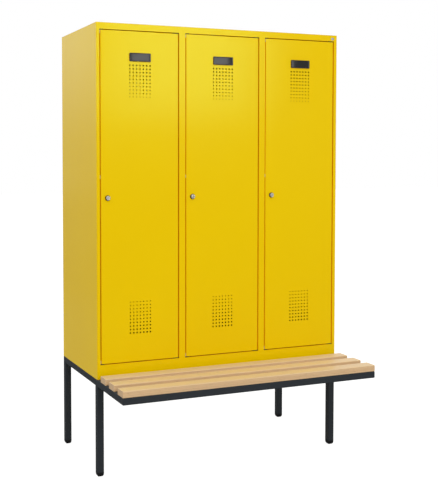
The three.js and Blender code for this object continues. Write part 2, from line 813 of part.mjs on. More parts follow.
function addDoor(i) {
  const number = i + 1;
  const middle = compartmentMiddle(i);
  add(`door_panel_${number}`, doorPanel(middle), yellowPaint);
  add(`door_stiffener_${number}`, doorStiffener(middle), yellowPaint);
  add(`label_holder_${number}`, labelHolder(middle), greyPlastic);
  add(`lock_housing_${number}`, lockHousing(middle), chrome);
  add(`lock_cylinder_${number}`, lockCylinder(middle), chrome);
  add(`lock_cam_${number}`, lockCam(middle), zincSteel);
  add(`upper_pivot_${number}`, doorPivot(middle, openingTop, -1), blackPlastic);
  add(`lower_pivot_${number}`, doorPivot(middle, openingBottom, 1), blackPlastic);
}

function addBase() {
  for (const [word, side] of [["left", -1], ["right", 1]]) {
    add(`front_leg_${word}`, leg(side, frontFace + tubeSide, railBottom - seam), darkPaint);
    add(`rear_leg_${word}`, leg(side, backFace, railTop), darkPaint);
    add(`front_foot_${word}`, legFoot(side, frontFace + tubeSide), blackPlastic);
    add(`rear_foot_${word}`, legFoot(side, backFace), blackPlastic);
    add(`side_rail_${word}`, sideRail(side), darkPaint);
  }
  const inner = halfWidth - tubeSide - seam;
  add("bench_front_rail", frontRail(), darkPaint);
  add("cross_rail", crossTube([-inner, inner], frontFace), darkPaint);
  add("rear_rail", crossTube([-inner, inner], backFace - tubeSide), darkPaint);
}

function addBench() {
  for (let i = 0; i < slatCount; i += 1) {
    add(`bench_slat_${i + 1}`, benchSlat(i), beech);
  }
}

addCarcass();
for (let i = 0; i < compartmentCount; i += 1) {
  addCompartment(i);
  addDoor(i);
}
addBase();
addBench();

export default locker;
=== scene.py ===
import json
import math

import bmesh
import bpy
from mathutils import Matrix, Vector


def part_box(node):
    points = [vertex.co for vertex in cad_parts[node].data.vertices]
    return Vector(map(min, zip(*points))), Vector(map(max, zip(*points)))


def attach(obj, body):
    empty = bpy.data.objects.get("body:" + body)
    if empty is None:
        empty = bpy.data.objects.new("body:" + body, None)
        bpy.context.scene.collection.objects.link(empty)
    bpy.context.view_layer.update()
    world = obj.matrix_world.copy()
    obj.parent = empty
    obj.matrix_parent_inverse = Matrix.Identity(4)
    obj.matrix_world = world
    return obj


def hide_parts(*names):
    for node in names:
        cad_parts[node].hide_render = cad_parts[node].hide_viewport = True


# Looks of the clothes locker with bench. Metres, +Z up, doors towards -Y.

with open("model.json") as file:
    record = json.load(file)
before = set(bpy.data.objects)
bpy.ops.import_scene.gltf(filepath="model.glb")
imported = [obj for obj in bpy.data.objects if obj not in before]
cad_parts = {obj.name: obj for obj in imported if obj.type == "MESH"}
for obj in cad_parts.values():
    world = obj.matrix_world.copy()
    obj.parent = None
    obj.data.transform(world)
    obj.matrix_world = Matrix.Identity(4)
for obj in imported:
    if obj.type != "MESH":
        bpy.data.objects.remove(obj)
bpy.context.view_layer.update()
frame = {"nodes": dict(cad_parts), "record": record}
nodes = frame["nodes"]
compartments = [1, 2, 3]
tiny = 1e-6
print("frame loaded:", len(nodes), "nodes")

# Camera

camera = {
    "place": (-1.7949, -3.5692, 1.366),
    "turn": 21.064,  # degrees to the right of straight ahead
    "tilt": 2.376,  # degrees below the horizon
    "roll": -0.145,
    "lens": 62.21,
    "sensor": 36.0,
    "shift": (0.182, -0.108),
}


def addCamera():
    lens = bpy.data.cameras.new("photoCamera")
    lens.sensor_width = camera["sensor"]
    lens.lens = camera["lens"]
    lens.shift_x, lens.shift_y = camera["shift"]
    holder = bpy.data.objects.new("photoCamera", lens)
    holder.location = camera["place"]
    turned = Matrix.Rotation(math.radians(-camera["turn"]), 3, "Z")
    tilted = Matrix.Rotation(math.radians(90 - camera["tilt"]), 3, "X")
    rolled = Matrix.Rotation(math.radians(camera["roll"]), 3, "Z")
    holder.rotation_euler = (turned @ tilted @ rolled).to_euler()
    bpy.context.scene.collection.objects.link(holder)
    bpy.context.scene.camera = holder


addCamera()
print("camera placed")

# Helpers for node trees


def addNode(tree, kind, inputs=None, **settings):
    made = tree.nodes.new("ShaderNode" + kind)
    for name, value in settings.items():
        setattr(made, name, value)
    feed(tree, made, inputs or {})
    return made


def feed(tree, made, inputs):
    for key, value in inputs.items():
        if isinstance(value, bpy.types.NodeSocket):
            tree.links.new(value, made.inputs[key])
        else:
            made.inputs[key].default_value = value


def calculate(tree, operation, *values):
    return addNode(tree, "Math", dict(enumerate(values)), operation=operation).outputs[0]


def mixColour(tree, share, first, second, blend="MIX"):
    # sockets 6 and 7 are the mix node's two colours, and output 2 is its colour
    mix = addNode(tree, "Mix", data_type="RGBA", blend_type=blend)
    feed(tree, mix, {0: share, 6: first, 7: second})
    return mix.outputs[2]


def blendIn(tree, amount, share, first, second):
    # the second colour comes over the first by a share of a varying amount
    return mixColour(tree, calculate(tree, "MULTIPLY", amount, share), first, second)


def fitRange(tree, value, fromLow, fromHigh, toLow=0.0, toHigh=1.0):
    limits = {0: value, 1: fromLow, 2: fromHigh, 3: toLow, 4: toHigh}
    return addNode(tree, "MapRange", limits).outputs[0]


def stretch(tree, place, scale):
    return addNode(tree, "Mapping", {"Vector": place, "Scale": scale}).outputs[0]


def noise(tree, place, scale, detail=2.0, roughness=0.5):
    settings = {"Vector": place, "Scale": scale, "Detail": detail, "Roughness": roughness}
    return addNode(tree, "TexNoise", settings).outputs[0]


def grain(tree, place, scale, detail, roughness=0.5):
    # noise drawn out by the scale of each axis
    return noise(tree, stretch(tree, place, scale), 1.0, detail, roughness)


def opennessWithin(tree, reach, samples):
    return addNode(tree, "AmbientOcclusion", {"Distance": reach}, samples=samples).outputs["AO"]


def newGroup(name, inputs, outputs):
    group = bpy.data.node_groups.new(name, "ShaderNodeTree")
    for label, value in inputs.items():
        kind = "NodeSocketVector" if isinstance(value, tuple) else "NodeSocketFloat"
        group.interface.new_socket(label, in_out="INPUT", socket_type=kind).default_value = value
    for label in outputs:
        group.interface.new_socket(label, in_out="OUTPUT", socket_type="NodeSocketFloat")
    return group, group.nodes.new("NodeGroupInput").outputs, group.nodes.new("NodeGroupOutput")


def useGroup(tree, group, inputs):
    made = tree.nodes.new("ShaderNodeGroup")
    made.node_tree = group
    feed(tree, made, inputs)
    return made.outputs


def newMaterial(name, shaderValues):
    material = bpy.data.materials.new(name)
    material.use_nodes = True
    tree = material.node_tree
    shader = tree.nodes["Principled BSDF"]
    feed(tree, shader, shaderValues)
    place = addNode(tree, "TexCoord").outputs["Object"]
    return material, tree, shader, place


def addBump(tree, shader, height, distance, strength):
    bump = addNode(tree, "Bump", {"Height": height, "Distance": distance, "Strength": strength})
    tree.links.new(bump.outputs[0], shader.inputs["Normal"])


# Effects that several finishes share

effects = {
    "filmDetail": 1.0,
    "finerCells": 2.7,  # the finer waves of a paint film against its coarse ones
    "finerShare": 0.35,
    "driftScale": 2.2,
    "driftDetail": 3.0,
    "driftRange": (0.3, 0.7),
    "bevelSamples": 4,
    "lyingRange": (0.4, 1.0),  # how level a face is before dust settles
    "dustScale": 9.0,
    "dustDetail": 5.0,
    "dustRoughness": 0.65,
    "dustRange": (0.35, 0.75),
    "smearScale": 14.0,
    "smearDetail": 4.0,
    "smearRoughness": 0.6,
    "smearRange": (0.45, 0.75),
    "scratchStretch": (0.25, 1.0, 6.0),
    "scratchScale": 90.0,
    "scratchRoughness": 0.4,
    "scratchRange": (0.66, 0.74),
    "brushStretch": (1.0, 1.0, 0.04),
    "brushRoughness": 0.7,
}
origin = (0.0, 0.0, 0.0)


def makePaintFilm():
    inputs = {"Place": origin, "Cells per metre": 700.0}
    group, given, result = newGroup("paintFilm", inputs, ["Peel", "Drift"])
    coarse = noise(group, given["Place"], given["Cells per metre"], effects["filmDetail"])
    finer = calculate(group, "MULTIPLY", given["Cells per metre"], effects["finerCells"])
    fine = noise(group, given["Place"], finer, effects["filmDetail"])
    peel = calculate(group, "MULTIPLY_ADD", fine, effects["finerShare"], coarse)
    patches = noise(group, given["Place"], effects["driftScale"], effects["driftDetail"])
    drift = fitRange(group, patches, *effects["driftRange"])
    feed(group, result, {"Peel": peel, "Drift": drift})
    return group


def makeEdgeWear():
    group, given, result = newGroup("edgeWear", {"Radius": 0.001, "Contrast": 2.0}, ["Wear"])
    bevel = addNode(group, "Bevel", {"Radius": given["Radius"]}, samples=effects["bevelSamples"])
    rounded = bevel.outputs[0]
    plain = addNode(group, "NewGeometry").outputs["Normal"]
    agree = addNode(group, "VectorMath", {0: rounded, 1: plain}, operation="DOT_PRODUCT")
    turned = calculate(group, "SUBTRACT", 1.0, agree.outputs["Value"])
    wear = calculate(group, "MULTIPLY", turned, given["Contrast"])
    feed(group, result, {"Wear": fitRange(group, wear, 0.0, 1.0)})
    return group


def makeSettledDust():
    group, given, result = newGroup("settledDust", {"Place": origin, "Amount": 0.2}, ["Dust"])
    normal = addNode(group, "NewGeometry").outputs["Normal"]
    upward = addNode(group, "SeparateXYZ", {0: normal}).outputs[2]
    lying = fitRange(group, upward, *effects["lyingRange"])
    spread = noise(
        group, given["Place"], effects["dustScale"], effects["dustDetail"], effects["dustRoughness"]
    )
    patches = fitRange(group, spread, *effects["dustRange"])
    settled = calculate(group, "MULTIPLY", lying, patches)
    feed(group, result, {"Dust": calculate(group, "MULTIPLY", settled, given["Amount"])})
    return group


def makeHandling():
    inputs = {"Place": origin, "Size": 1.0}
    group, given, result = newGroup("handlingMarks", inputs, ["Smear", "Scratch"])
    scale = calculate(group, "DIVIDE", effects["smearScale"], given["Size"])
    rubbed = noise(group, given["Place"], scale, effects["smearDetail"], effects["smearRoughness"])
    smear = fitRange(group, rubbed, *effects["smearRange"])
    across = stretch(group, given["Place"], effects["scratchStretch"])
    lineScale = calculate(group, "DIVIDE", effects["scratchScale"], given["Size"])
    lines = noise(group, across, lineScale, roughness=effects["scratchRoughness"])
    scratch = fitRange(group, lines, *effects["scratchRange"])
    feed(group, result, {"Smear": smear, "Scratch": scratch})
    return group


def makeBrushedLines():
    inputs = {"Place": origin, "Lines per metre": 900.0}
    group, given, result = newGroup("brushedLines", inputs, ["Lines"])
    drawn = stretch(group, given["Place"], effects["brushStretch"])
    lines = noise(group, drawn, given["Lines per metre"], roughness=effects["brushRoughness"])
    feed(group, result, {"Lines": lines})
    return group


paintFilm = makePaintFilm()
edgeWear = makeEdgeWear()
settledDust = makeSettledDust()
handlingMarks = makeHandling()
brushedLines = makeBrushedLines()

# Finishes

yellow = {
    "plain": (0.90, 0.600, 0.0002, 1),
    "deep": (0.89, 0.582, 0.0002, 1),
    "edge": (0.95, 0.64, 0.02, 1),
    "dust": (0.78, 0.70, 0.52, 1),
    "level": 0.42,
    "specularTint": (0.4, 1.0, 0.22, 1),
    "cells": 1500.0,
    "wear": {"Radius": 0.0012, "Contrast": 1.6},
    "wearShare": 0.5,
    "dustAmount": 0.12,
    "dustMatt": 0.8,
    "marksSize": 1.0,
    "paintedGapLight": (1.0, 0.43, 0.0, 1),  # painted light: the orange of light bounced between a narrow gap's two sides, laid on where little of the surroundings is open
    "paintedGapReach": 0.012,
    "paintedGapSamples": 6,
    "paintedGapRange": (0.85, 0.35),
    "paintedInsideShade": (0.66, 0.56, 0.30, 1),  # painted shade: the colour darkened and dulled deep inside a closed box, where little light reaches
    "paintedShadeReach": 0.6,
    "paintedShadeSamples": 4,
    "paintedShadeRange": (0.16, 0.04),
    "paintedShadeClear": (0.5, 0.85),  # keeps the painted inside shade out of the gaps
    "gloss": (0.17, 0.22),
    "bump": (0.00006, 0.3),
}


def makeYellowPaint():
    sheen = {"Specular IOR Level": yellow["level"], "Specular Tint": yellow["specularTint"]}
    material, tree, shader, place = newMaterial("yellowPaint", sheen)
    film = useGroup(tree, paintFilm, {"Place": place, "Cells per metre": yellow["cells"]})
    wear = useGroup(tree, edgeWear, yellow["wear"])["Wear"]
    dust = useGroup(tree, settledDust, {"Place": place, "Amount": yellow["dustAmount"]})["Dust"]
    marks = useGroup(tree, handlingMarks, {"Place": place, "Size": yellow["marksSize"]})
    colour = mixColour(tree, film["Drift"], yellow["deep"], yellow["plain"])
    colour = blendIn(tree, wear, yellow["wearShare"], colour, yellow["edge"])
    # painted light in narrow gaps: the colour turns to the bounce-light orange where ambient
    # occlusion finds the surface closed in
    openness = opennessWithin(tree, yellow["paintedGapReach"], yellow["paintedGapSamples"])
    paintedGapShare = fitRange(tree, openness, *yellow["paintedGapRange"])
    colour = mixColour(tree, paintedGapShare, colour, yellow["paintedGapLight"])
    # painted shade deep inside the closed compartments, multiplied into the colour where wide
    # ambient occlusion finds them closed in
    wideOpenness = opennessWithin(tree, yellow["paintedShadeReach"], yellow["paintedShadeSamples"])
    closed = fitRange(tree, wideOpenness, *yellow["paintedShadeRange"])
    clear = fitRange(tree, openness, *yellow["paintedShadeClear"])
    inside = calculate(tree, "MULTIPLY", closed, clear)
    colour = mixColour(tree, inside, colour, yellow["paintedInsideShade"], "MULTIPLY")
    colour = mixColour(tree, dust, colour, yellow["dust"])
    gloss = fitRange(tree, marks["Smear"], 0.0, 1.0, *yellow["gloss"])
    gloss = calculate(tree, "MULTIPLY_ADD", dust, yellow["dustMatt"], gloss)
    feed(tree, shader, {"Base Color": colour, "Roughness": gloss})
    addBump(tree, shader, film["Peel"], *yellow["bump"])
    return material


dark = {
    "plain": (0.0250, 0.0300, 0.0355, 1),
    "worn": (0.044, 0.049, 0.056, 1),
    "dust": (0.30, 0.28, 0.25, 1),
    "level": 0.2,
    "cells": 1600.0,
    "wear": {"Radius": 0.0010, "Contrast": 1.4},
    "wearShare": 0.6,
    "dustAmount": 0.22,
    "marksSize": 0.5,
    "gloss": (0.62, 0.72),
    "bump": (0.00006, 0.45),
}


def makeDarkPaint():
    material, tree, shader, place = newMaterial("darkPaint", {"Specular IOR Level": dark["level"]})
    film = useGroup(tree, paintFilm, {"Place": place, "Cells per metre": dark["cells"]})
    wear = useGroup(tree, edgeWear, dark["wear"])["Wear"]
    dust = useGroup(tree, settledDust, {"Place": place, "Amount": dark["dustAmount"]})["Dust"]
    marks = useGroup(tree, handlingMarks, {"Place": place, "Size": dark["marksSize"]})
    colour = blendIn(tree, wear, dark["wearShare"], dark["plain"], dark["worn"])
    colour = mixColour(tree, dust, colour, dark["dust"])
    gloss = fitRange(tree, marks["Smear"], 0.0, 1.0, *dark["gloss"])
    feed(tree, shader, {"Base Color": colour, "Roughness": gloss})
    addBump(tree, shader, film["Peel"], *dark["bump"])
    return material


beech = {
    "coat": {"Coat Weight": 0.22, "Coat Roughness": 0.18, "Specular IOR Level": 0.3},
    "pale": (0.812, 0.612, 0.355, 1),
    "ring": (0.735, 0.515, 0.270, 1),
    "fleck": (0.330, 0.165, 0.065, 1),
    "endGrain": (0.430, 0.235, 0.125, 1),
    "standing": (0.94, 0.86, 0.83, 1),  # painted shade: the standing sides of a slat darker and pinker than its top
    "standingRange": (0.6, 0.2),
    "wander": ((0.9, 7.0, 7.0), 2.0),  # stretch, detail and roughness of a noise
    "wanderShare": 0.030,
    "ringSlope": 0.45,
    "rings": (170.0, 3.0, 0.6),
    "ringRange": (0.35, 0.7),
    "fibres": ((5.0, 900.0, 900.0), 3.0, 0.7),
    "flecks": ((70.0, 520.0, 330.0), 1.0),
    "fleckRange": (0.66, 0.74),
    "fleckShare": 0.30,
    "knots": ((16.0, 60.0, 60.0), 1.0),
    "knotRange": (0.73, 0.80),
    "knotShare": 0.35,
    "board": ((0.7, 14.0, 1.0), 0.0),
    "boardShift": 0.10,
    "toneRange": (0.25, 0.75, 0.90, 1.06),
    "sawnRange": (0.75, 0.95),
    "sawnShare": 0.8,
    "pores": ((1.0, 700.0, 700.0), 2.0, 0.6),
    "plies": ((0.4, 6.0, 420.0), 1.0),
    "plyRange": (0.55, 0.70),
    "plyShare": 0.40,
    "glossRange": (0.2, 0.8, 0.44, 0.58),
    "bump": (0.00012, 0.5),
}


def makeBeech():
    material, tree, shader, place = newMaterial("beech", beech["coat"])
    axes = addNode(tree, "SeparateXYZ", {0: place}).outputs
    slow = grain(tree, place, *beech["wander"])
    bent = calculate(tree, "MULTIPLY_ADD", slow, beech["wanderShare"], axes[1])
    level = calculate(tree, "MULTIPLY_ADD", axes[2], beech["ringSlope"], bent)
    rings = addNode(tree, "CombineXYZ", {0: level, 1: 0.0, 2: 0.0}).outputs[0]
    bands = noise(tree, rings, *beech["rings"])
    fibres = grain(tree, place, *beech["fibres"])
    flecks = fitRange(tree, grain(tree, place, *beech["flecks"]), *beech["fleckRange"])
    knots = fitRange(tree, grain(tree, place, *beech["knots"]), *beech["knotRange"])
    board = grain(tree, place, *beech["board"])
    ringed = fitRange(tree, bands, *beech["ringRange"])
    colour = mixColour(tree, ringed, beech["pale"], beech["ring"])
    colour = blendIn(tree, flecks, beech["fleckShare"], colour, beech["fleck"])
    colour = blendIn(tree, knots, beech["knotShare"], colour, beech["fleck"])
    tone = fitRange(tree, fibres, *beech["toneRange"])
    shifted = calculate(tree, "SUBTRACT", board, 0.5)
    tone = calculate(tree, "MULTIPLY_ADD", shifted, beech["boardShift"], tone)
    toned = addNode(tree, "VectorMath", {0: colour, 3: tone}, operation="SCALE").outputs[0]
    normal = addNode(tree, "NewGeometry").outputs["Normal"]
    sideways = addNode(tree, "SeparateXYZ", {0: normal}).outputs[0]
    sawn = fitRange(tree, calculate(tree, "ABSOLUTE", sideways), *beech["sawnRange"])
    pores = grain(tree, place, *beech["pores"])
    endColour = mixColour(tree, pores, beech["endGrain"], beech["pale"])
    plies = grain(tree, place, *beech["plies"])
    upward = addNode(tree, "SeparateXYZ", {0: normal}).outputs[2]
    standing = fitRange(tree, upward, *beech["standingRange"])
    plyLines = calculate(tree, "MULTIPLY", fitRange(tree, plies, *beech["plyRange"]), standing)
    toned = blendIn(tree, plyLines, beech["plyShare"], toned, beech["fleck"])
    # painted shade on the standing sides of the slats, against their tops
    toned = mixColour(tree, standing, toned, beech["standing"], "MULTIPLY")
    colour = blendIn(tree, sawn, beech["sawnShare"], toned, endColour)
    gloss = fitRange(tree, fibres, *beech["glossRange"])
    feed(tree, shader, {"Base Color": colour, "Roughness": gloss})
    addBump(tree, shader, fibres, *beech["bump"])
    return material


moulded = {
    "cells": 1500.0,
    "wear": {"Radius": 0.0006, "Contrast": 1.2},
    "wearShare": 0.7,
    "scratchShare": 0.15,
    "dustAmount": 0.15,
    "smearMatt": 0.10,
    "bumpDistance": 0.00006,
}


def makeMoulded(name, base, worn, roughness, level=0.5, marksSize=0.3, texture=0.6):
    material, tree, shader, place = newMaterial(name, {"Specular IOR Level": level})
    film = useGroup(tree, paintFilm, {"Place": place, "Cells per metre": moulded["cells"]})
    wear = useGroup(tree, edgeWear, moulded["wear"])["Wear"]
    marks = useGroup(tree, handlingMarks, {"Place": place, "Size": marksSize})
    dust = useGroup(tree, settledDust, {"Place": place, "Amount": moulded["dustAmount"]})["Dust"]
    colour = blendIn(tree, wear, moulded["wearShare"], base, worn)
    colour = blendIn(tree, marks["Scratch"], moulded["scratchShare"], colour, worn)
    colour = mixColour(tree, dust, colour, dark["dust"])
    gloss = calculate(tree, "MULTIPLY_ADD", marks["Smear"], moulded["smearMatt"], roughness)
    feed(tree, shader, {"Base Color": colour, "Roughness": gloss})
    addBump(tree, shader, film["Peel"], moulded["bumpDistance"], texture)
    return material


plated = {
    "wear": {"Radius": 0.0005, "Contrast": 1.5},
    "wearShare": 0.4,
    "marksSize": 0.15,
    "dullRange": (0.3, 0.7),
    "smearShare": 0.3,
    "glossRange": (0.2, 0.8),
    "glossSpread": 0.12,
    "scratchMatt": 0.10,
    "bump": (0.00004, 0.5),
}


def makePlated(name, base, dull, roughness, lines):
    material, tree, shader, place = newMaterial(name, {"Metallic": 1.0})
    drawn = useGroup(tree, brushedLines, {"Place": place, "Lines per metre": lines})["Lines"]
    wear = useGroup(tree, edgeWear, plated["wear"])["Wear"]
    marks = useGroup(tree, handlingMarks, {"Place": place, "Size": plated["marksSize"]})
    colour = mixColour(tree, fitRange(tree, drawn, *plated["dullRange"]), base, dull)
    colour = blendIn(tree, marks["Smear"], plated["smearShare"], colour, dull)
    colour = blendIn(tree, wear, plated["wearShare"], colour, base)
    roughest = roughness + plated["glossSpread"]
    gloss = fitRange(tree, drawn, *plated["glossRange"], roughness, roughest)
    gloss = calculate(tree, "MULTIPLY_ADD", marks["Scratch"], plated["scratchMatt"], gloss)
    feed(tree, shader, {"Base Color": colour, "Roughness": gloss})
    addBump(tree, shader, drawn, *plated["bump"])
    return material


finishes = {
    "yellow_paint": makeYellowPaint(),
    "dark_paint": makeDarkPaint(),
    "beech": makeBeech(),
    "grey_plastic": makeMoulded(
        "greyPlastic", (0.016, 0.016, 0.020, 1), (0.035, 0.035, 0.036, 1), 0.22, 0.4
    ),
    "black_plastic": makeMoulded(
        "blackPlastic", (0.008, 0.008, 0.009, 1), (0.03, 0.03, 0.032, 1), 0.55, 0.22
    ),
    "chrome": makePlated("chrome", (0.82, 0.82, 0.84, 1), (0.62, 0.62, 0.65, 1), 0.12, 2500.0),
    "zinc_steel": makePlated(
        "zincSteel", (0.70, 0.71, 0.72, 1), (0.50, 0.51, 0.53, 1), 0.30, 1100.0
    ),
}
trims = {  # looks of single small pieces, in the slots above
    "window": makeMoulded(
        "windowPlastic", (0.019, 0.019, 0.0175, 1), (0.03, 0.03, 0.03, 1), 0.08, 0.27, 0.3, 0.04
    ),
    "paleBuffer": makeMoulded("paleBuffer", (0.55, 0.37, 0.14, 1), (0.62, 0.48, 0.26, 1), 0.55),
    "satinNickel": makePlated(
        "satinNickel", (0.80, 0.79, 0.74, 1), (0.64, 0.63, 0.58, 1), 0.36, 1600.0
    ),
    "greySteel": makePlated(
        "greySteel", (0.46, 0.48, 0.55, 1), (0.36, 0.38, 0.45, 1), 0.38, 1400.0
    ),
}
print("finishes made:", len(finishes) + len(trims))

# Helpers for meshes

smoothAngle = 35  # degrees, below which an edge is shaded smooth
roundingRoom = 2.1  # a side divided by this is the most that one rounding takes of it


def ring(width, height, radius, steps, distance):
    # points round a rectangle with rounded corners, which is a circle when all its sizes agree
    radius = max(min(radius, width / 2, height / 2), tiny)
    points = []
    for quarter, (sideA, sideB) in enumerate([(1, 1), (-1, 1), (-1, -1), (1, -1)]):
        for step in range(steps + 1):
            angle = (quarter + step / steps) * math.pi / 2
            a = sideA * (width / 2 - radius) + radius * math.cos(angle)
            b = sideB * (height / 2 - radius) + radius * math.sin(angle)
            points.append(Vector((a, b, distance)))
    return points


def softened(corners, radius, steps=3):
    # the points of an open outline with each inner corner rounded off
    points = [Vector(corners[0])]
    for before, corner, after in zip(corners, corners[1:], corners[2:]):
        before, corner, after = Vector(before), Vector(corner), Vector(after)
        near, far = before - corner, after - corner
        cut = min(radius, near.length / roundingRoom, far.length / roundingRoom)
        start, end = corner + near.normalized() * cut, corner + far.normalized() * cut
        for step in range(steps + 1):
            t = step / steps
            points.append(start * (1 - t) ** 2 + corner * 2 * t * (1 - t) + end * t * t)
    return points + [Vector(corners[-1])]


def insetRings(width, height, radius, outline, steps):
    # one ring for each point of an outline of distance and inset
    return [
        ring(width - 2 * inset, height - 2 * inset, radius - inset, steps, distance)
        for distance, inset in outline
    ]


def turnedRings(radius, outline, steps):
    return insetRings(2 * radius, 2 * radius, radius, outline, steps)


def skin(bm, rings, closed=False):
    loops = [[bm.verts.new(point) for point in points] for points in rings]
    count = len(loops[0])
    pairs = list(zip(loops, loops[1:])) + ([(loops[-1], loops[0])] if closed else [])
    for first, second in pairs:
        for i in range(count):
            j = (i + 1) % count
            bm.faces.new((first[i], first[j], second[j], second[i]))
    if not closed:
        bm.faces.new(list(reversed(loops[0])))
        bm.faces.new(loops[-1])


def softBlock(bm, width, height, corner, depth, cap, rounding, steps):
    # a plate, pin or pad whose outer edges are rounded and whose end faces are set in by cap
    outline = softened([(0, cap), (0, 0), (depth, 0), (depth, cap)], rounding)
    skin(bm, insetRings(width, height, corner, outline, steps))


facings = {  # where a piece's width, height and outward axis point
    "front": ((1, 0, 0), (0, 0, 1), (0, -1, 0)),
    "back": ((-1, 0, 0), (0, 0, 1), (0, 1, 0)),
    "up": ((1, 0, 0), (0, 1, 0), (0, 0, 1)),
    "down": ((-1, 0, 0), (0, 1, 0), (0, 0, -1)),
    "right": ((0, 1, 0), (0, 0, 1), (1, 0, 0)),
    "left": ((0, -1, 0), (0, 0, 1), (-1, 0, 0)),
}


def facing(direction, place):
    columns = Matrix(facings[direction]).transposed().to_4x4()
    return Matrix.Translation(Vector(place)) @ columns


def addPiece(name, build, place, body, slot, material=None):
    # build fills a bmesh in the piece's own axes, and place carries it to the object
    bm = bmesh.new()
    build(bm)
    bmesh.ops.remove_doubles(bm, verts=bm.verts, dist=tiny)
    bmesh.ops.recalc_face_normals(bm, faces=bm.faces)
    limit = math.radians(smoothAngle)
    for edge in bm.edges:
        edge.smooth = len(edge.link_faces) == 2 and edge.calc_face_angle(math.pi) < limit
    for face in bm.faces:
        face.smooth = True
    mesh = bpy.data.meshes.new(name)
    bm.to_mesh(mesh)
    bm.free()
    mesh.materials.append(material or finishes[slot])
    piece = bpy.data.objects.new(name, mesh)
    piece.matrix_world = place
    bpy.context.scene.collection.objects.link(piece)
    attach(piece, body)
    return piece


# Carried-over sheets, tubes and slats: one welded skin, smooth bends, finely rounded edges

cleaning = {
    "weld": 1e-5,
    "sharpAngle": 0.9,  # radians, above the turn between two facets of a bend
    "flatAngle": 0.5,  # degrees
    "edgeSegments": 3,
    "softEdge": {"beech": 0.0012, "dark_paint": 0.0005, "zinc_steel": 0.0004},
}


def makeSkinCleaner():
    group = bpy.data.node_groups.new("cleanSkin", "GeometryNodeTree")
    group.interface.new_socket("Geometry", in_out="INPUT", socket_type="NodeSocketGeometry")
    group.interface.new_socket("Geometry", in_out="OUTPUT", socket_type="NodeSocketGeometry")
    made = group.nodes.new
    given, result = made("NodeGroupInput"), made("NodeGroupOutput")
    weld = made("GeometryNodeMergeByDistance")
    weld.inputs["Distance"].default_value = cleaning["weld"]
    angle = made("GeometryNodeInputMeshEdgeAngle")
    sharp = made("FunctionNodeCompare")
    sharp.operation = "GREATER_THAN"
    sharp.inputs[1].default_value = cleaning["sharpAngle"]
    shade = made("GeometryNodeSetMeshNormal")
    shade.mode = "SHARPNESS"
    join = group.links.new
    join(given.outputs[0], weld.inputs["Geometry"])
    join(weld.outputs[0], shade.inputs["Mesh"])
    join(angle.outputs["Unsigned Angle"], sharp.inputs[0])
    join(sharp.outputs[0], shade.inputs["Edge Sharpness"])
    shade.inputs["Remove Custom"].default_value = True
    join(shade.outputs[0], result.inputs[0])
    return group


skinCleaner = makeSkinCleaner()


def finishNode(name, slot):
    node = nodes[name]
    node.data.materials.clear()
    node.data.materials.append(finishes[slot])
    clean = node.modifiers.new("cleanSkin", "NODES")
    clean.node_group = skinCleaner
    if slot in cleaning["softEdge"]:
        flat = node.modifiers.new("mergeFlats", "DECIMATE")
        flat.decimate_type = "DISSOLVE"
        flat.angle_limit = math.radians(cleaning["flatAngle"])
        soft = node.modifiers.new("softEdge", "BEVEL")
        soft.width = cleaning["softEdge"][slot]
        soft.segments = cleaning["edgeSegments"]
        soft.limit_method = "ANGLE"
        soft.angle_limit = cleaning["sharpAngle"]
        soft.harden_normals = True
    weigh = node.modifiers.new("levelFaces", "WEIGHTED_NORMAL")
    weigh.keep_sharp = True


for part in frame["record"]["subparts"]:
    finishNode(part["node"], part["material_slot"])
print("frame finished")

# Cam locks: satin head and threaded barrel, black collar, nut, plug with key slot, cam screw

lock = {
    "baseRadius": 0.0118,
    "collarTop": 0.0064,
    "collarTopRadius": 0.0099,
    "collarSeat": 0.0003,  # clear of the door
    "collarClearance": 0.0002,
    "collarRounding": 0.0006,
    "faceRadius": 0.0093,
    "height": 0.008,
    "footHeight": 0.002,
    "bore": 0.0063,
    "boreChamfer": (0.0012, 0.0005),
    "headGap": 0.0001,
    "headRounding": 0.0007,
    "barrelRadius": 0.0085,
    "barrelLength": 0.0246,
    "barrelChamfer": 0.0005,
    "threadPitch": 0.0012,
    "threadDepth": 0.0006,
    "threadStart": 0.0008,
    "threadFree": 0.003,  # the length of barrel that has no thread
    "threadEnd": 0.0003,
    "plugRadius": 0.006,
    "plugProud": 0.0005,
    "plugRounding": 0.0006,
    "plugFace": 0.002,
    "plugTail": 0.004,
    "slotWidth": 0.0033,
    "slotHeight": 0.0082,
    "slotDepth": 0.006,
    "slotLip": 0.0003,
    "nutAcross": 0.024,
    "nutThickness": 0.0045,
    "nutSlope": 0.58,  # rise of the chamfer against its reach
    "nutSheet": 0.0013,
    "nutSteps": 9,
    "screwRadius": 0.0045,
    "screwHeight": 0.0026,
    "steps": 10,
}
screwHead = {
    "side": 0.6,  # shares of the head's height or radius
    "crown": 0.55,
    "recess": 0.6,
    "recessFloor": 0.5,
    "sunk": 0.001,  # metres again
    "recessCorner": 0.0004,
    "recessFloorCorner": 0.0002,
}


def buildBezel(bm):
    # outwards is the front, and zero is the door's face
    base, height, bore = lock["faceRadius"], lock["height"], lock["bore"]
    tail, pitch = -lock["barrelLength"], lock["threadPitch"]
    side = base - lock["barrelRadius"]
    outline = [(tail, base - bore), (tail, side + lock["barrelChamfer"])]
    for turn in range(int((lock["barrelLength"] - lock["threadFree"]) / pitch)):
        crest = tail + lock["threadStart"] + turn * pitch
        outline.append((crest, side))
        outline.append((crest + pitch / 2, side + lock["threadDepth"]))
    under = lock["collarTop"] + lock["headGap"]
    outline += [(-lock["threadEnd"], side), (under, side)]
    chamferDepth, chamferWidth = lock["boreChamfer"]
    head = softened([
        (under, side),
        (under, 0.0),
        (height, 0.0),
        (height, base - bore - chamferWidth),
        (height - chamferDepth, base - bore),
    ], lock["headRounding"], 4)
    skin(bm, turnedRings(base, outline + head[1:], lock["steps"]), closed=True)


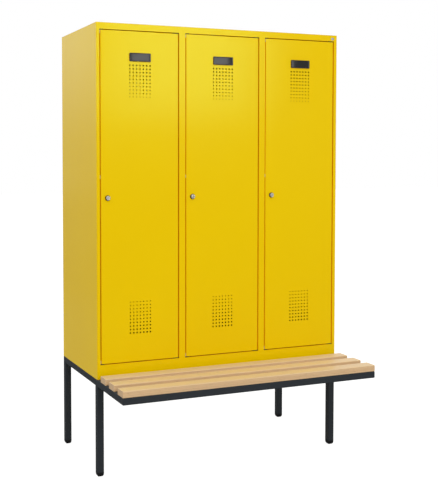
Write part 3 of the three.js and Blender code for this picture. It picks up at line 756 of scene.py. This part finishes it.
def buildCollar(bm):
    base, seat, top = lock["baseRadius"], lock["collarSeat"], lock["collarTop"]
    inner = lock["barrelRadius"] + lock["collarClearance"]
    outline = softened([
        (seat, base - inner),
        (seat, 0.0),
        (lock["footHeight"], 0.0),
        (top, base - lock["collarTopRadius"]),
        (top, base - inner),
    ], lock["collarRounding"], 4)
    skin(bm, turnedRings(base, outline, lock["steps"]), closed=True)


def buildNut(bm):
    across, thick, steps = lock["nutAcross"], lock["nutThickness"], lock["nutSteps"]
    outer = 2 * across / math.sqrt(3)
    rise = (outer - across) / 2 * lock["nutSlope"]
    rings = []
    for distance, limit in [(0, across), (rise, outer), (thick - rise, outer), (thick, across)]:
        points = ring(outer, outer, outer / 2, steps, -distance)
        for point in points:
            angle = math.atan2(point.y, point.x) % (math.pi / 3) - math.pi / 6
            reach = min(across / 2 / math.cos(angle), limit / 2)
            point.x, point.y = Vector((point.x, point.y)).normalized() * reach
        rings.append(points)
    bore = 2 * lock["barrelRadius"]
    rings += [ring(bore, bore, bore / 2, steps, distance) for distance in (-thick, 0)]
    skin(bm, rings, closed=True)


def buildPlug(bm):
    front, radius, steps = lock["height"] + lock["plugProud"], lock["plugRadius"], lock["steps"]
    tail = -lock["barrelLength"]
    outline = softened([(tail, 0.0), (front, 0.0), (front, lock["plugFace"])], lock["plugRounding"])
    rings = turnedRings(radius, [(tail, lock["plugTail"])] + outline[:-1], steps)
    wide, high, lip = lock["slotWidth"], lock["slotHeight"], lock["slotLip"]
    rings.append(ring(wide + 2 * lip, high + 2 * lip, wide / 2, steps, front))
    rings.append(ring(wide, high, wide / 2, steps, front - lip))
    rings.append(ring(wide, high, wide / 2, steps, front - lock["slotDepth"]))
    skin(bm, rings)


def buildScrew(radius, high):
    # a pan head with a square recess for its driver
    def build(bm):
        steps = lock["steps"]
        shoulder = (high * screwHead["side"], 0.0)
        crown = (high, radius * screwHead["crown"])
        outline = softened([(-screwHead["sunk"], 0.0), shoulder, crown], radius / 3, 4)
        rings = turnedRings(radius, outline, steps)
        across = radius * screwHead["recess"]
        rings.append(ring(across, across, screwHead["recessCorner"], steps, high))
        floor, depth = across * screwHead["recessFloor"], high * screwHead["recessFloor"]
        rings.append(ring(floor, floor, screwHead["recessFloorCorner"], steps, depth))
        skin(bm, rings)

    return build


def addLocks():
    satin = trims["satinNickel"]
    for i in compartments:
        low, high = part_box(f"lock_housing_{i}")
        face = low.y + lock["height"]
        centre = Vector(((low.x + high.x) / 2, face, (low.z + high.z) / 2))
        front = facing("front", centre)
        bezel = addPiece(f"lock_bezel_{i}", buildBezel, front, f"door_{i}", "chrome", satin)
        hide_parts(f"lock_housing_{i}")
        addPiece(f"lock_collar_{i}", buildCollar, front, f"door_{i}", "black_plastic")
        nutPlace = facing("front", centre + Vector((0, lock["nutSheet"], 0)))
        addPiece(f"lock_nut_{i}", buildNut, nutPlace, f"door_{i}", "zinc_steel")
        plug = addPiece(f"lock_plug_{i}", buildPlug, front, f"lock_{i}", "chrome", satin)
        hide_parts(f"lock_cylinder_{i}")
        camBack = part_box(f"lock_cam_{i}")[1].y
        screwPlace = facing("back", (centre.x, camBack, centre.z))
        camScrew = buildScrew(lock["screwRadius"], lock["screwHeight"])
        addPiece(f"cam_screw_{i}", camScrew, screwPlace, f"lock_{i}", "zinc_steel")


addLocks()
print("locks made")

# Label holders: glossy moulded frame and a slightly barrelled window, without text

label = {
    "corner": 0.003,
    "rim": 0.0032,
    "thumbRim": 0.0050,  # the wider rim at the right, where the card is drawn out
    "rimSlope": 0.0004,
    "slopeFrom": 0.3,  # share of the depth
    "edge": 0.0009,
    "steps": 6,
    "bulge": 0.0013,
    "columns": 24,
    "recess": 0.0006,
    "tuck": 0.0005,  # how far the window reaches under the rim
    "windowBack": 0.0004,
}


def buildLabelFrame(width, height, depth):
    def build(bm):
        rim = label["rim"]
        outline = softened([
            (0.0, 0.0),
            (depth, 0.0),
            (depth, rim),
            (depth * label["slopeFrom"], rim + label["rimSlope"]),
            (0.0, rim + label["rimSlope"]),
        ], label["edge"])
        rings = insetRings(width, height, label["corner"], outline, label["steps"])
        for points, (distance, inset) in zip(rings, outline):
            share = min(inset / rim, 1.0)
            for point in points:
                point.x -= share * label["thumbRim"] * max(point.x, 0.0) / (width / 2)
        skin(bm, rings, closed=True)

    return build


def buildLabelWindow(width, height, depth):
    def build(bm):
        left = label["rim"] - label["tuck"] - width / 2
        right = width / 2 - label["rim"] - label["thumbRim"] + label["tuck"]
        halfHigh = height / 2 - label["rim"] - label["tuck"]
        back, columns = label["windowBack"], label["columns"]
        rings = []
        for column in range(columns + 1):
            x = left + (right - left) * column / columns
            front = depth - label["recess"] - label["bulge"] * (2 * x / width) ** 2
            corners = [(-halfHigh, back), (halfHigh, back), (halfHigh, front), (-halfHigh, front)]
            rings.append([Vector((x, y, z)) for y, z in corners])
        skin(bm, rings)

    return build


def addLabels():
    for i in compartments:
        low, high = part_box(f"label_holder_{i}")
        width, depth, height = high - low
        place = facing("front", ((low.x + high.x) / 2, high.y, (low.z + high.z) / 2))
        rims, window = buildLabelFrame(width, height, depth), buildLabelWindow(width, height, depth)
        holder = addPiece(f"label_frame_{i}", rims, place, f"door_{i}", "grey_plastic")
        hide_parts(f"label_holder_{i}")
        addPiece(f"label_window_{i}", window, place, f"door_{i}", "grey_plastic", trims["window"])


addLabels()
print("label holders made")

# Pivots: moulded bearing plate in the gap and a steel pin through it

pivot = {
    "plateThickness": 0.0032,
    "plateGap": (0.0003, 0.0002),  # to the door, and to the frame
    "plateCorner": 0.0022,
    "plateEdge": 0.0005,
    "plateSteps": 5,
    "pinRadius": 0.0035,
    "pinSetback": 0.006,
    "pinInset": 0.010,
    "pinEdge": 0.0007,
    "pinSteps": 8,
    "cap": 0.001,
}


def addPivots():
    thick, radius, cap = pivot["plateThickness"], pivot["pinRadius"], pivot["cap"]
    doorGap, frameGap = pivot["plateGap"]
    for i in compartments:
        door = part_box(f"door_panel_{i}")
        for side, direction in (("upper", "down"), ("lower", "up")):
            node = f"{side}_pivot_{i}"
            low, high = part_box(node)
            edge = door[1].z if side == "upper" else door[0].z
            sign = -1 if side == "upper" else 1
            near = edge - sign * (doorGap + thick + frameGap)
            place = facing(direction, ((low.x + high.x) / 2, (low.y + high.y) / 2, near))
            width, deep, length = high - low

            def buildPlate(bm):
                corner, rounding = pivot["plateCorner"], pivot["plateEdge"]
                softBlock(bm, width, deep, corner, thick, cap, rounding, pivot["plateSteps"])

            def buildPin(bm):
                across, rounding, steps = 2 * radius, pivot["pinEdge"], pivot["pinSteps"]
                softBlock(bm, across, across, radius, length, cap, rounding, steps)

            plate = addPiece(f"{side}_bearing_{i}", buildPlate, place, "locker", "black_plastic")
            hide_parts(node)
            pinZ = high.z if side == "upper" else low.z
            pinX, pinY = door[1].x - pivot["pinInset"], door[0].y + pivot["pinSetback"]
            pinPlace = facing(direction, (pinX, pinY, pinZ))
            addPiece(f"{side}_pin_{i}", buildPin, pinPlace, "locker", "zinc_steel")


addPivots()
print("pivots made")

# Buffers in the door gaps: black ones above and below at the lock side, pale ones up the same side

buffers = {
    "gap": 0.004,
    "blackLength": 0.0175,
    "blackThickness": 0.0039,
    "blackInset": 0.0002,
    "paleHeight": 0.0145,
    "thickness": 0.0034,
    "depth": 0.013,
    "setback": 0.0002,
    "middle": 1.294,
    "cornerClearance": 0.0045,
    "corner": 0.0012,
    "cap": 0.0008,
    "edge": 0.0006,
    "steps": 4,
}


def addBuffer(name, low, high, slot, material=None):
    size = high - low

    def build(bm):
        corner, cap, rounding = buffers["corner"], buffers["cap"], buffers["edge"]
        softBlock(bm, size.x, size.z, corner, size.y, cap, rounding, buffers["steps"])

    place = facing("front", ((low.x + high.x) / 2, high.y, (low.z + high.z) / 2))
    addPiece(name, build, place, "locker", slot, material)


def addBuffers():
    gap, clear, tall = buffers["gap"], buffers["cornerClearance"], buffers["paleHeight"]
    thick, full = buffers["thickness"], buffers["blackThickness"]
    for i in compartments:
        low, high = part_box(f"door_panel_{i}")
        y = (low.y + buffers["setback"], low.y + buffers["setback"] + buffers["depth"])
        left = low.x - gap
        for side, z in (("upper", high.z + gap - full), ("lower", low.z - gap)):
            near = Vector((left + buffers["blackInset"], y[0], z))
            far = Vector((left + buffers["blackLength"], y[1], z + full))
            addBuffer(f"{side}_corner_buffer_{i}", near, far, "black_plastic")
        starts = {
            "top": high.z - clear - tall + gap,
            "middle": buffers["middle"] - tall / 2,
            "bottom": low.z + clear - gap,
        }
        for side, z in starts.items():
            near = Vector((left, y[0], z))
            far = Vector((left + thick, y[1], z + tall))
            addBuffer(f"{side}_side_buffer_{i}", near, far, "black_plastic", trims["paleBuffer"])


addBuffers()
print("buffers made")

# Moulded feet: dome under the leg, fine flange at the seam, ribbed plug inside the tube

foot = {
    "flat": 0.015,
    "flatCorner": 0.0015,
    "corner": 0.003,
    "lip": 0.0022,
    "seam": 0.0005,
    "seamCorner": 0.0028,
    "seamEdge": 0.0002,
    "legGap": 0.0003,
    "plugWall": 0.0024,
    "plugCorner": 0.002,
    "plugRibs": 4,
    "ribDepth": 0.001,
    "ribCrest": 0.4,  # shares of a rib's length
    "ribFoot": 0.8,
    "steps": 5,
    "arcs": 8,
}


def buildFoot(width, top, legBottom):
    def build(bm):
        rings = []

        def add(size, corner, height):
            rings.append(ring(size, size, corner, foot["steps"], height))

        flat, corner = foot["flat"], foot["flatCorner"]
        add(flat, corner, 0.0)
        domeTop = legBottom - foot["lip"]
        for step in range(1, foot["arcs"] + 1):
            angle = step / foot["arcs"] * math.pi / 2
            share = math.sin(angle)
            lifted = domeTop * (1 - math.cos(angle))
            add(flat + (width - flat) * share, corner + corner * share, lifted)
        inset = foot["seam"]
        add(width - 2 * inset, foot["seamCorner"], domeTop + foot["seamEdge"])
        add(width - 2 * inset, foot["seamCorner"], domeTop + inset)
        add(width, foot["corner"], domeTop + inset + foot["seamEdge"])
        add(width, foot["corner"], legBottom)
        plug = width - 2 * foot["plugWall"]
        core, plugCorner = plug - foot["ribDepth"], foot["plugCorner"]
        add(core, plugCorner, legBottom)
        rib = (top - legBottom) / foot["plugRibs"]
        for i in range(foot["plugRibs"]):
            add(plug, plugCorner, legBottom + (i + foot["ribCrest"]) * rib)
            add(core, plugCorner, legBottom + (i + foot["ribFoot"]) * rib)
        skin(bm, rings)

    return build


def addFeet():
    for end in ("front", "rear"):
        for side in ("left", "right"):
            node = f"{end}_foot_{side}"
            low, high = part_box(node)
            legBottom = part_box(f"{end}_leg_{side}")[0].z - foot["legGap"]
            middle = (low + high) / 2
            build = buildFoot(high.x - low.x, high.z, legBottom)
            place = facing("up", (middle.x, middle.y, low.z))
            piece = addPiece(f"{end}_{side}_foot", build, place, "locker", "black_plastic")
            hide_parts(node)


addFeet()
print("feet made")

# Screws of the clothes rails' end plates, and of the slats from under the side rails

screws = {
    "plateRadius": 0.0032,
    "plateHeight": 0.0018,
    "plateSheet": 0.003,
    "plateReach": 0.020,
    "slatRadius": 0.005,
    "slatHeight": 0.0024,
}


def addScrews():
    small = buildScrew(screws["plateRadius"], screws["plateHeight"])
    large = buildScrew(screws["slatRadius"], screws["slatHeight"])
    sheet = screws["plateSheet"]
    for i in compartments:
        low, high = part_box(f"clothes_rail_{i}")
        middle = (low + high) / 2
        ends = {"left": (low.x + sheet, "right"), "right": (high.x - sheet, "left")}
        for end, (x, direction) in ends.items():
            for level, sign in (("upper", 1), ("lower", -1)):
                place = facing(direction, (x, middle.y, middle.z + sign * screws["plateReach"]))
                addPiece(f"{end}_{level}_rail_screw_{i}", small, place, "locker", "zinc_steel")
    for side in ("left", "right"):
        railLow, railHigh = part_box(f"side_rail_{side}")
        for i in compartments:
            slat = sum(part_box(f"bench_slat_{i}"), Vector()) / 2
            place = facing("down", ((railLow.x + railHigh.x) / 2, slat.y, railLow.z))
            addPiece(f"slat_screw_{side}_{i}", large, place, "locker", "zinc_steel")


addScrews()
print("screws made")

# Plain oval plate at the top right of the frame

badge = {
    "width": 0.0165,
    "height": 0.0118,
    "thickness": 0.0011,
    "crown": (0.0002, 0.003),  # its rise, and how far in it is reached
    "edge": 0.0006,
    "steps": 12,
    "fromRight": 0.022,
    "fromTop": 0.0157,
}


def buildBadge(bm):
    rise, inset = badge["crown"]
    corners = [(0, 0.0), (badge["thickness"], 0.0), (badge["thickness"] + rise, inset)]
    outline = softened(corners, badge["edge"], 4)
    width, height = badge["width"], badge["height"]
    skin(bm, insetRings(width, height, height / 2, outline, badge["steps"]))


def addBadge():
    low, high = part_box("front_frame")
    place = facing("front", (high.x - badge["fromRight"], low.y, high.z - badge["fromTop"]))
    addPiece("oval_plate", buildBadge, place, "locker", "chrome", trims["greySteel"])


addBadge()
print("plate made")

# Studio

studio = {
    "white": 1.0,  # the backdrop as the camera sees it
    "backdropFoot": 0.42,  # and as glossy parts see it, from its foot up to its white top
    "backdropRise": (0.02, 0.13),
    "fill": 0.70,  # what the backdrop sheds on the object
    "room": 0.50,  # the side behind the camera
    "roomToBackdrop": (-0.35, 0.15),
    "overhead": 0.90,
    "overheadRise": (0.15, 0.9),
    "floorHalf": 30.0,
    "floorDrop": 0.0002,
    "floorColour": (0.50, 0.50, 0.50, 1),
    "floorMirrored": (0.25, 0.25, 0.25, 1),
    "floorSeen": (0.25, 0.25, 0.25, 1),  # darker and lifted: an even white that just clips
    "floorLift": 0.89,
    "floorGlossyShare": 0.10,  # far off, where glossy parts see the floor run into the backdrop
    "floorNear": 2.0,
    "floorFar": 12.0,
}
lamps = {
    "keyLamp": {
        "place": (1.8, -4.7, 2.65), "aim": (-0.2, 0.0, 1.5),
        "size": (1.7, 1.6), "power": 38.6,
    },
    "frontLamp": {
        "place": (-1.6, -4.2, 4.4), "aim": (0.0, -0.1, 1.0),
        "size": (2.6, 1.6), "power": 56.0,
    },
    "lowLamp": {
        "place": (-2.6, -5.2, 1.0), "aim": (0.0, 0.0, 1.1),
        "size": (3.6, 1.8), "power": 28.0,
    },
    "leftLamp": {
        "place": (-4.5, 0.8, 1.6), "aim": (-0.6, 0.1, 1.1),
        "size": (2.0, 2.0), "power": 18.0,
    },
    "rightLamp": {
        "place": (4.3, 1.2, 1.8), "aim": (0.6, 0.1, 1.1),
        "size": (2.0, 2.0), "power": 26.0,
    },
    "backLamp": {
        "place": (0.3, 4.8, 2.4), "aim": (0.1, 0.4, 1.1),
        "size": (1.6, 1.6), "power": 46.0,
    },
}


def addWorld():
    world = bpy.data.worlds.new("studioWorld")
    world.use_nodes = True
    tree = world.node_tree
    tree.nodes.clear()
    direction = addNode(tree, "TexCoord").outputs["Generated"]
    axes = addNode(tree, "SeparateXYZ", {0: direction}).outputs
    behind = fitRange(tree, axes[1], *studio["roomToBackdrop"])  # 1 towards the backdrop
    level = fitRange(tree, behind, 0.0, 1.0, studio["room"], studio["fill"])
    level = fitRange(tree, axes[2], *studio["overheadRise"], level, studio["overhead"])
    lowest, white = studio["backdropFoot"], studio["white"]
    backdrop = fitRange(tree, axes[2], *studio["backdropRise"], lowest, white)
    rays = addNode(tree, "LightPath").outputs
    polished = calculate(tree, "MAXIMUM", rays["Is Glossy Ray"], rays["Is Transmission Ray"])
    mirrored = calculate(tree, "MULTIPLY", polished, behind)
    strength = fitRange(tree, mirrored, 0.0, 1.0, level, backdrop)
    strength = fitRange(tree, rays["Is Camera Ray"], 0.0, 1.0, strength, white)
    light = addNode(tree, "Background", {"Color": (1, 1, 1, 1), "Strength": strength})
    result = addNode(tree, "OutputWorld")
    tree.links.new(light.outputs[0], result.inputs[0])
    bpy.context.scene.world = world


def addFloor():
    material = bpy.data.materials.new("studioFloor")
    material.use_nodes = True
    tree = material.node_tree
    tree.nodes.clear()
    rays = addNode(tree, "LightPath").outputs
    colour = mixColour(tree, rays["Is Glossy Ray"], studio["floorColour"], studio["floorMirrored"])
    colour = mixColour(tree, rays["Is Camera Ray"], colour, studio["floorSeen"])
    matt = addNode(tree, "BsdfDiffuse", {"Color": colour})
    glow = addNode(tree, "Emission", {"Color": (1, 1, 1, 1), "Strength": studio["floorLift"]})
    lifted = addNode(tree, "AddShader", {0: matt.outputs[0], 1: glow.outputs[0]})
    place = addNode(tree, "TexCoord").outputs["Object"]
    away = addNode(tree, "VectorMath", {0: place}, operation="LENGTH").outputs["Value"]
    most = studio["floorGlossyShare"]
    share = fitRange(tree, away, studio["floorNear"], studio["floorFar"], 0.0, most)
    glossy = calculate(tree, "MULTIPLY", rays["Is Glossy Ray"], share)
    seen = calculate(tree, "MAXIMUM", rays["Is Camera Ray"], glossy)
    seen = calculate(tree, "MAXIMUM", seen, rays["Is Transmission Ray"])
    mix = addNode(tree, "MixShader", {0: seen, 1: matt.outputs[0], 2: lifted.outputs[0]})
    result = addNode(tree, "OutputMaterial")
    tree.links.new(mix.outputs[0], result.inputs[0])
    half = studio["floorHalf"]
    corners = [(-half, -half, 0), (half, -half, 0), (half, half, 0), (-half, half, 0)]
    mesh = bpy.data.meshes.new("studioFloor")
    mesh.from_pydata(corners, [], [(0, 1, 2, 3)])
    mesh.materials.append(material)
    floor = bpy.data.objects.new("studioFloor", mesh)
    floor.location.z = -studio["floorDrop"]
    bpy.context.scene.collection.objects.link(floor)


def addLamp(name, lamp):
    light = bpy.data.lights.new(name, "AREA")
    light.shape = "RECTANGLE"
    light.size, light.size_y = lamp["size"]
    light.energy = lamp["power"]
    holder = bpy.data.objects.new(name, light)
    holder.location = lamp["place"]
    along = Vector(lamp["aim"]) - Vector(lamp["place"])
    holder.rotation_euler = along.to_track_quat("-Z", "Y").to_euler()
    bpy.context.scene.collection.objects.link(holder)


addWorld()
addFloor()
for name, lamp in lamps.items():
    addLamp(name, lamp)
bpy.context.scene.view_settings.view_transform = "Standard"
print("studio lit")

bpy.context.view_layer.update()
